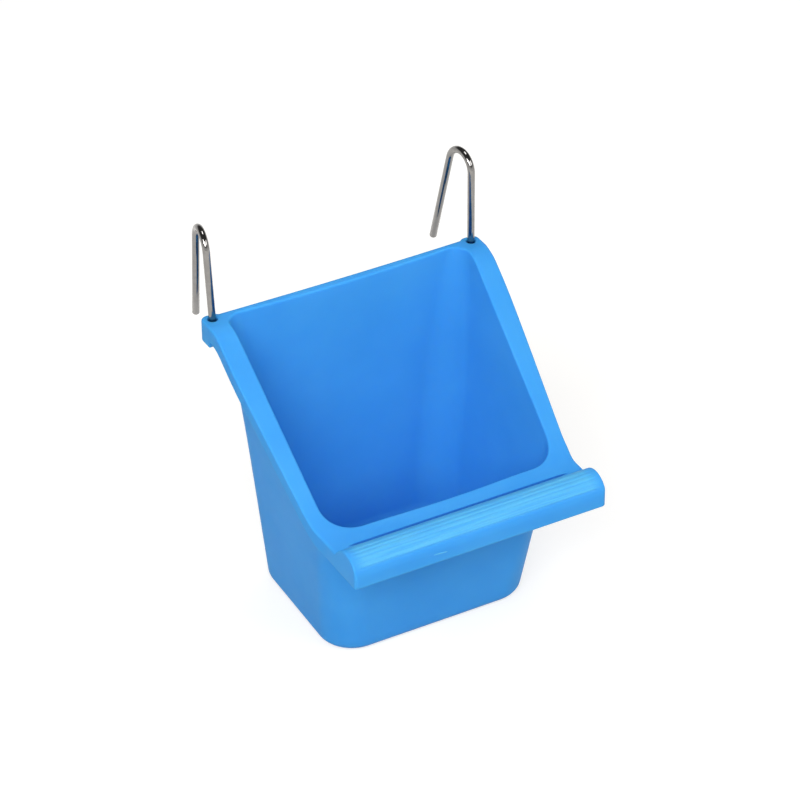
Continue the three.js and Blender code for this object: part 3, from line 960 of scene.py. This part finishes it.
def hook_wire(name, material, side, swivel, lower=0.0, lean_along=0.0, lean_across=0.0):
    """One wire: a swelled foot, the leg, two bends that follow each other, and the free leg. It is made with
    the leg upright and the rim's top at height 0, and then seated in its hole"""
    bm = bmesh.new()
    leg_top = HOOK_RISE - FIRST_BEND
    foot_top = SHOULDER - RIM_HEIGHT - FOOT_UNDER_SHOULDER
    foot = foot_top - FOOT_THICKNESS
    profile = ((FOOT_RADIUS - FOOT_LOWER_EDGE, foot), (FOOT_RADIUS, foot + FOOT_LOWER_EDGE),
               (FOOT_RADIUS, foot_top - FOOT_UPPER_EDGE), (FOOT_RADIUS - FOOT_UPPER_EDGE, foot_top),
               (WIRE_RADIUS, foot_top), (WIRE_RADIUS, foot_top + 0.4), (WIRE_RADIUS, 0),
               (WIRE_RADIUS, leg_top / 2), (WIRE_RADIUS, leg_top))
    edges = loop_edges(bm, pull_tube(bm, [circle(0, 0, radius, z, 24) for radius, z in profile]))
    second_turn = HOOK_TURN - math.pi / 2
    for radius, angle, steps in ((FIRST_BEND, math.pi / 2, 18), (SECOND_BEND, second_turn, 20)):
        centre = Vector((FIRST_BEND, 0, HOOK_RISE - radius)) * MM
        spun = bmesh.ops.spin(bm, geom=edges, cent=centre, axis=(0, 1, 0), angle=angle, steps=steps)
        edges = [item for item in spun["geom_last"] if isinstance(item, bmesh.types.BMEdge)]

    # The free leg, whose cut end is drawn in a little
    fall = HOOK_RISE - SECOND_BEND * (1 - math.cos(second_turn)) + TIP_BELOW_RIM
    along = Vector((fall / math.tan(second_turn), 0, -fall)) * MM
    for share in (0.5, 0.49, 0.01):
        made = bmesh.ops.extrude_edge_only(bm, edges=edges)["geom"]
        verts = [item for item in made if isinstance(item, bmesh.types.BMVert)]
        bmesh.ops.translate(bm, verts=verts, vec=along * share)
        edges = [item for item in made if isinstance(item, bmesh.types.BMEdge)]
        edges = [edge for edge in edges if edge.verts[0] in verts and edge.verts[1] in verts]
    middle = sum((vert.co for vert in verts), Vector()) / len(verts)
    bmesh.ops.scale(bm, verts=verts, vec=[TIP_SCALE] * 3, space=Matrix.Translation(-middle))
    bmesh.ops.contextual_create(bm, geom=edges)

    hole_middle = (SHOULDER + RIM_HEIGHT) / 2
    seat = Matrix.Translation(Vector((side * HOOK_X, HOOK_Y, hole_middle)) * MM)
    turn = Matrix.Rotation(math.radians(swivel), 4, "Z")
    lean = Matrix.Rotation(math.radians(lean_along), 4, "Y")
    lean @= Matrix.Rotation(math.radians(-lean_across), 4, "X")
    drop = Matrix.Translation((0, 0, (RIM_HEIGHT - hole_middle - lower) * MM))
    bmesh.ops.transform(bm, matrix=seat @ turn @ lean @ drop, verts=bm.verts)
    return new_piece(f"{name}_wire", bm, material, name, "hook_wire", name)


# Floor, light and camera

def seen_directly(holder):
    """1 where a ray shows the backdrop itself: in the picture, in a reflection or through glass"""
    rays = add_node(holder, "ShaderNodeLightPath").outputs
    seen = rays["Is Camera Ray"]
    for way in ("Is Glossy Ray", "Is Transmission Ray"):
        seen = add_node(holder, "ShaderNodeMath", {0: seen, 1: rays[way]}, operation="MAXIMUM").outputs[0]
    return seen


def studio_floor():
    """A sheet of pale paper that shows as white and keeps the shadow. Its glow is seen but lights nothing"""
    bm = bmesh.new()
    bmesh.ops.create_grid(bm, x_segments=1, y_segments=1, size=3)
    bmesh.ops.translate(bm, verts=bm.verts, vec=(0, 0, -FLOOR_GAP * MM))
    mesh = bpy.data.meshes.new("floor")
    bm.to_mesh(mesh)
    bm.free()
    floor = bpy.data.objects.new("floor", mesh)
    bpy.context.scene.collection.objects.link(floor)
    material = new_material("white_paper_sweep")
    paper = add_node(material, "ShaderNodeBsdfDiffuse", {"Color": linear("#C1BFBB")})
    glow = add_node(material, "ShaderNodeEmission", {"Color": linear("#FFFFFF"), "Strength": 0.58})
    shown = add_node(material, "ShaderNodeMixShader", {0: seen_directly(material), 2: glow.outputs[0]})
    both = add_node(material, "ShaderNodeAddShader", {0: paper.outputs[0], 1: shown.outputs[0]})
    add_node(material, "ShaderNodeOutputMaterial", {"Surface": both.outputs[0]})
    mesh.materials.append(material)


def soft_lamp(name, place_at, size, power, target=(0, 0, 0.04)):
    light = bpy.data.lights.new(name, "AREA")
    light.shape = "RECTANGLE"
    light.size, light.size_y = size
    light.energy = power
    lamp = bpy.data.objects.new(name, light)
    lamp.location = place_at
    lamp.rotation_euler = (Vector(target) - Vector(place_at)).to_track_quat("-Z", "Y").to_euler()
    bpy.context.scene.collection.objects.link(lamp)


def white_world():
    """White where it is seen and a weak even fill where it lights. Mirrored in metal, it is white round the
    horizon and dark overhead, which gives bright wire its dark bends"""
    world = bpy.data.worlds.new("studio")
    world.use_nodes = True
    bpy.context.scene.world = world
    rays = add_node(world, "ShaderNodeLightPath").outputs
    direction = add_node(world, "ShaderNodeTexCoord").outputs["Generated"]
    height = add_node(world, "ShaderNodeSeparateXYZ", {"Vector": direction})
    mirrored = add_node(world, "ShaderNodeMapRange", {
        "Value": height.outputs["Z"], "From Min": 0.05, "From Max": 0.35, "To Min": 1.0, "To Max": 0.07})
    lit = add_node(world, "ShaderNodeMix", {
        0: rays["Is Glossy Ray"], PLAIN_A: 0.32, PLAIN_B: mirrored.outputs[0]}, data_type="FLOAT")
    shown = add_node(world, "ShaderNodeMath", {0: rays["Is Camera Ray"], 1: rays["Is Transmission Ray"]},
                     operation="MAXIMUM")
    level = add_node(world, "ShaderNodeMix", {
        0: shown.outputs[0], PLAIN_A: lit.outputs[0], PLAIN_B: 1.0}, data_type="FLOAT")
    background = world.node_tree.nodes["Background"]
    background.inputs["Color"].default_value = linear("#FFFFFF")
    world.node_tree.links.new(level.outputs[0], background.inputs["Strength"])


def photo_camera():
    """The camera at the photograph's angle: its place, and the directions of its right, up and back"""
    field_of_view = math.radians(12)
    location = Vector((-352.31, -643.80, 557.31)) * MM
    right, up, back = (0.8741, -0.4858, -0.0050), (0.2789, 0.4935, 0.8238), (-0.3977, -0.7214, 0.5669)
    data = bpy.data.cameras.new("camera")
    data.sensor_width = 36
    data.lens = data.sensor_width / 2 / math.tan(field_of_view / 2)
    data.clip_start = 0.01
    camera = bpy.data.objects.new("camera", data)
    turned = Matrix((right, up, back)).transposed().to_quaternion().to_matrix().to_4x4()
    camera.matrix_world = Matrix.Translation(location) @ turned
    bpy.context.scene.collection.objects.link(camera)
    bpy.context.scene.camera = camera


cup_finish = moulded_polypropylene()
wire_finish = plated_steel_wire()

cup = new_piece("moulded_cup", shell_of_cup(), cup_finish, "cup", "cup_plastic", "cup")
drill_holes(cup)
join_or_cut(cup, parting_tick(), "UNION")
hook_wire("left_hook", wire_finish, -1, LEFT_SWIVEL, LEFT_SITS_LOWER, LEFT_LEAN_ALONG, LEFT_LEAN_ACROSS)
hook_wire("right_hook", wire_finish, 1, RIGHT_SWIVEL)

studio_floor()
white_world()

# Place and size in metres, power in watts
soft_lamp("key", (-0.42, -0.74, 0.66), (0.45, 0.45), 5.5)
soft_lamp("side_box", (-0.72, -0.42, 0.72), (0.4, 0.4), 4.2)
soft_lamp("top_box", (0.1, 0.2, 1.0), (0.3, 0.3), 1.6)
soft_lamp("front_box", (0.42, -0.72, 0.68), (0.6, 0.4), 2.8)
photo_camera()
bpy.context.scene.view_settings.view_transform = "Standard"
